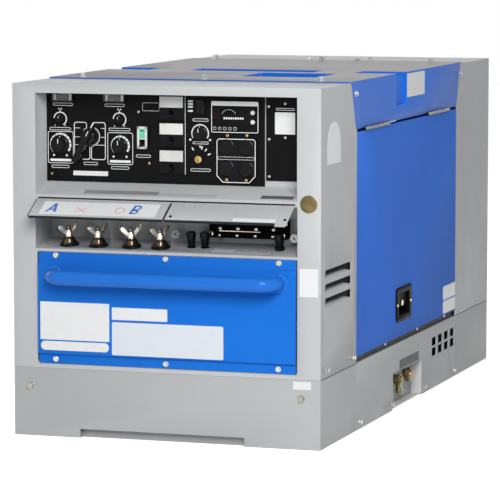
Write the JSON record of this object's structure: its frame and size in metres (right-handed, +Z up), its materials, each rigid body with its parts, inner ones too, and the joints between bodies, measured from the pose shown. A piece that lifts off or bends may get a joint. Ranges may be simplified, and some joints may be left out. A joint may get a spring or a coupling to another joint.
{
  "type": "engine driven welder",
  "caption": "Engine driven arc welder in a sheet-metal case, with side doors, a control panel recess, a terminal bay behind tilting flaps and a pull-bar service cover.",
  "frame": {"origin": "centre of the base's underside, on the ground", "axes": "+Z up, -Y out of the control side, +X out of the right-hand door"},
  "size_m": [0.711, 1.5337, 0.773],
  "materials": {
    "base_front_skirt": "grey paint, satin",
    "base_pan": "grey paint, satin",
    "base_rear_skirt": "grey paint, satin",
    "base_side_cover_left": "grey paint, satin",
    "base_side_cover_right": "grey paint, satin",
    "battery": "moulded",
    "bonnet": "blue paint, gloss",
    "breaker_bank": "moulded",
    "breaker_toggle_1": "moulded",
    "breaker_toggle_2": "moulded",
    "breaker_toggle_3": "moulded",
    "breaker_toggle_4": "moulded",
    "control_panel": "black panel, printed marks left out",
    "coolant_drain_cock": "olive passivated",
    "cooling_fan": "moulded",
    "engine": "painted casting",
    "fine_dial_left": "moulded",
    "fine_dial_right": "moulded",
    "front_cover": "blue paint, gloss",
    "front_handle": "blue paint, gloss",
    "front_housing": "grey paint, semi-gloss",
    "fuel_cap": "moulded",
    "fuel_tank": "moulded",
    "generator": "painted casting",
    "hinge_rail_left": "blue paint",
    "hinge_rail_right": "blue paint",
    "key_switch": "polished",
    "latch_housing_left": "moulded",
    "latch_housing_right": "moulded",
    "latch_paddle_left": "satin",
    "latch_paddle_right": "satin",
    "lifting_frame": "dark paint",
    "monitor_button_1": "moulded",
    "monitor_button_2": "moulded",
    "monitor_unit": "moulded",
    "muffler": "heat dulled",
    "oil_drain_plug": "dull",
    "outlet_block": "moulded",
    "output_dial_left": "moulded",
    "output_dial_right": "moulded",
    "radiator": "black core",
    "rear_housing": "grey paint, semi-gloss",
    "rocker_switch": "moulded",
    "selector_lever": "moulded",
    "side_door_left": "blue paint, gloss",
    "side_door_right": "blue paint, gloss",
    "side_panel": "black panel, printed marks left out",
    "terminal_bay": "grey paint",
    "terminal_block": "moulded",
    "terminal_board": "moulded, steel studs",
    "terminal_cap_1": "moulded",
    "terminal_cap_2": "moulded",
    "terminal_cap_3": "moulded",
    "terminal_flap_left": "grey paint, semi-gloss",
    "terminal_flap_right": "grey paint, semi-gloss",
    "throttle_dial": "moulded",
    "wing_nut_1": "plated",
    "wing_nut_2": "plated",
    "wing_nut_3": "plated",
    "wing_nut_4": "plated"
  },
  "bodies": {
    "case": {"base_front_skirt": "base_front_skirt", "base_pan": "base_pan", "base_rear_skirt": "base_rear_skirt", "base_side_cover_left": "base_side_cover_left", "base_side_cover_right": "base_side_cover_right", "battery": "battery", "bonnet": "bonnet", "breaker_bank": "breaker_bank", "control_panel": "control_panel", "coolant_drain_cock": "coolant_drain_cock", "engine": "engine", "front_cover": "front_cover", "front_handle": "front_handle", "front_housing": "front_housing", "fuel_tank": "fuel_tank", "generator": "generator", "hinge_rail_left": "hinge_rail_left", "hinge_rail_right": "hinge_rail_right", "lifting_frame": "lifting_frame", "monitor_unit": "monitor_unit", "muffler": "muffler", "oil_drain_plug": "oil_drain_plug", "outlet_block": "outlet_block", "radiator": "radiator", "rear_housing": "rear_housing", "side_panel": "side_panel", "terminal_bay": "terminal_bay", "terminal_block": "terminal_block", "terminal_board": "terminal_board"},
    "door_right": {"side_door_right": "side_door_right", "latch_housing_right": "latch_housing_right"},
    "paddle_right": {"latch_paddle_right": "latch_paddle_right"},
    "door_left": {"side_door_left": "side_door_left", "latch_housing_left": "latch_housing_left"},
    "paddle_left": {"latch_paddle_left": "latch_paddle_left"},
    "flap_left": {"terminal_flap_left": "terminal_flap_left"},
    "flap_right": {"terminal_flap_right": "terminal_flap_right"},
    "nut_1": {"wing_nut_1": "wing_nut_1"},
    "nut_2": {"wing_nut_2": "wing_nut_2"},
    "nut_3": {"wing_nut_3": "wing_nut_3"},
    "nut_4": {"wing_nut_4": "wing_nut_4"},
    "cap_1": {"terminal_cap_1": "terminal_cap_1"},
    "cap_2": {"terminal_cap_2": "terminal_cap_2"},
    "cap_3": {"terminal_cap_3": "terminal_cap_3"},
    "fine_dial_left_body": {"fine_dial_left": "fine_dial_left"},
    "fine_dial_right_body": {"fine_dial_right": "fine_dial_right"},
    "output_dial_left_body": {"output_dial_left": "output_dial_left"},
    "output_dial_right_body": {"output_dial_right": "output_dial_right"},
    "throttle_dial_body": {"throttle_dial": "throttle_dial"},
    "selector": {"selector_lever": "selector_lever"},
    "toggle_1": {"breaker_toggle_1": "breaker_toggle_1"},
    "toggle_2": {"breaker_toggle_2": "breaker_toggle_2"},
    "toggle_3": {"breaker_toggle_3": "breaker_toggle_3"},
    "toggle_4": {"breaker_toggle_4": "breaker_toggle_4"},
    "rocker": {"rocker_switch": "rocker_switch"},
    "key": {"key_switch": "key_switch"},
    "button_1": {"monitor_button_1": "monitor_button_1"},
    "button_2": {"monitor_button_2": "monitor_button_2"},
    "fan": {"cooling_fan": "cooling_fan"},
    "filler_cap": {"fuel_cap": "fuel_cap"}
  },
  "joints": [
    {"name": "door_right_hinge", "type": "hinge", "parent": "case", "child": "door_right", "pos_m": [0.352, 0, 0.6645], "axis": [0, -1, 0], "range_deg": [0, 90]},
    {"name": "paddle_right_hinge", "type": "hinge", "parent": "door_right", "child": "paddle_right", "pos_m": [0.3455, -0.076, 0.26], "axis": [0, -1, 0], "range_deg": [0, 40], "stiffness_Nm_per_rad": 0.4},
    {"name": "door_left_hinge", "type": "hinge", "parent": "case", "child": "door_left", "pos_m": [-0.352, 0, 0.6645], "axis": [0, 1, 0], "range_deg": [0, 90]},
    {"name": "paddle_left_hinge", "type": "hinge", "parent": "door_left", "child": "paddle_left", "pos_m": [-0.3455, -0.076, 0.26], "axis": [0, 1, 0], "range_deg": [0, 40], "stiffness_Nm_per_rad": 0.4},
    {"name": "flap_left_hinge", "type": "hinge", "parent": "case", "child": "flap_left", "pos_m": [-0.138, -0.7378, 0.519], "axis": [-1, 0, 0], "range_deg": [-60, 35]},
    {"name": "flap_right_hinge", "type": "hinge", "parent": "case", "child": "flap_right", "pos_m": [0.1565, -0.7378, 0.519], "axis": [-1, 0, 0], "range_deg": [-60, 35]},
    {"name": "nut_1_turn", "type": "hinge", "parent": "case", "child": "nut_1", "pos_m": [-0.233, -0.70109, 0.43684], "axis": [0, -0.1661, 0.9861], "range_deg": [0, 720]},
    {"name": "nut_2_turn", "type": "hinge", "parent": "case", "child": "nut_2", "pos_m": [-0.165, -0.70109, 0.43684], "axis": [0, -0.1661, 0.9861], "range_deg": [0, 720]},
    {"name": "nut_3_turn", "type": "hinge", "parent": "case", "child": "nut_3", "pos_m": [-0.0885, -0.70109, 0.43684], "axis": [0, -0.1661, 0.9861], "range_deg": [0, 720]},
    {"name": "nut_4_turn", "type": "hinge", "parent": "case", "child": "nut_4", "pos_m": [-0.022, -0.70109, 0.43684], "axis": [0, -0.1661, 0.9861], "range_deg": [0, 720]},
    {"name": "cap_1_turn", "type": "hinge", "parent": "case", "child": "cap_1", "pos_m": [0.0435, -0.68314, 0.4206], "axis": [0, -0.1661, 0.9861], "range_deg": [0, 720]},
    {"name": "cap_2_turn", "type": "hinge", "parent": "case", "child": "cap_2", "pos_m": [0.0745, -0.68314, 0.4206], "axis": [0, -0.1661, 0.9861], "range_deg": [0, 720]},
    {"name": "cap_3_turn", "type": "hinge", "parent": "case", "child": "cap_3", "pos_m": [0.243, -0.68314, 0.4206], "axis": [0, -0.1661, 0.9861], "range_deg": [0, 720]},
    {"name": "fine_dial_left_turn", "type": "hinge", "parent": "case", "child": "fine_dial_left_body", "pos_m": [-0.265, -0.6685, 0.69], "axis": [0, 1, 0], "range_deg": [-150, 150]},
    {"name": "fine_dial_right_turn", "type": "hinge", "parent": "case", "child": "fine_dial_right_body", "pos_m": [-0.127, -0.6685, 0.691], "axis": [0, 1, 0], "range_deg": [-150, 150]},
    {"name": "output_dial_left_turn", "type": "hinge", "parent": "case", "child": "output_dial_left_body", "pos_m": [-0.265, -0.6685, 0.634], "axis": [0, 1, 0], "range_deg": [-150, 150]},
    {"name": "output_dial_right_turn", "type": "hinge", "parent": "case", "child": "output_dial_right_body", "pos_m": [-0.126, -0.6685, 0.634], "axis": [0, 1, 0], "range_deg": [-150, 150]},
    {"name": "throttle_dial_turn", "type": "hinge", "parent": "case", "child": "throttle_dial_body", "pos_m": [0.058, -0.6685, 0.665], "axis": [0, 1, 0], "range_deg": [-135, 135]},
    {"name": "selector_turn", "type": "hinge", "parent": "case", "child": "selector", "pos_m": [-0.194, -0.6685, 0.653], "axis": [0, -1, 0], "range_deg": [0, 64]},
    {"name": "toggle_1_throw", "type": "hinge", "parent": "case", "child": "toggle_1", "pos_m": [-0.005, -0.673, 0.7065], "axis": [-1, 0, 0], "range_deg": [0, 50]},
    {"name": "toggle_2_throw", "type": "hinge", "parent": "case", "child": "toggle_2", "pos_m": [-0.005, -0.673, 0.6485], "axis": [-1, 0, 0], "range_deg": [0, 50]},
    {"name": "toggle_3_throw", "type": "hinge", "parent": "case", "child": "toggle_3", "pos_m": [-0.005, -0.673, 0.59], "axis": [-1, 0, 0], "range_deg": [0, 50]},
    {"name": "toggle_4_throw", "type": "hinge", "parent": "case", "child": "toggle_4", "pos_m": [-0.072, -0.673, 0.641], "axis": [-1, 0, 0], "range_deg": [0, 50]},
    {"name": "rocker_tilt", "type": "hinge", "parent": "case", "child": "rocker", "pos_m": [0.059, -0.6675, 0.722], "axis": [1, 0, 0], "range_deg": [-8, 8]},
    {"name": "key_turn", "type": "hinge", "parent": "case", "child": "key", "pos_m": [0.055, -0.6685, 0.609], "axis": [0, 1, 0], "range_deg": [-45, 90]},
    {"name": "button_1_press", "type": "slide", "parent": "case", "child": "button_1", "axis": [0, 1, 0], "range_m": [0, 0.0015], "stiffness_N_per_m": 300},
    {"name": "button_2_press", "type": "slide", "parent": "case", "child": "button_2", "axis": [0, 1, 0], "range_m": [0, 0.0015], "stiffness_N_per_m": 300},
    {"name": "fan_spin", "type": "hinge", "parent": "case", "child": "fan", "pos_m": [0, 0.4333, 0.33], "axis": [0, 1, 0], "continuous": true},
    {"name": "filler_cap_turn", "type": "hinge", "parent": "case", "child": "filler_cap", "pos_m": [0.1335, -0.28, 0.7283], "axis": [0, 0, 1], "range_deg": [0, 120]}
  ]
}
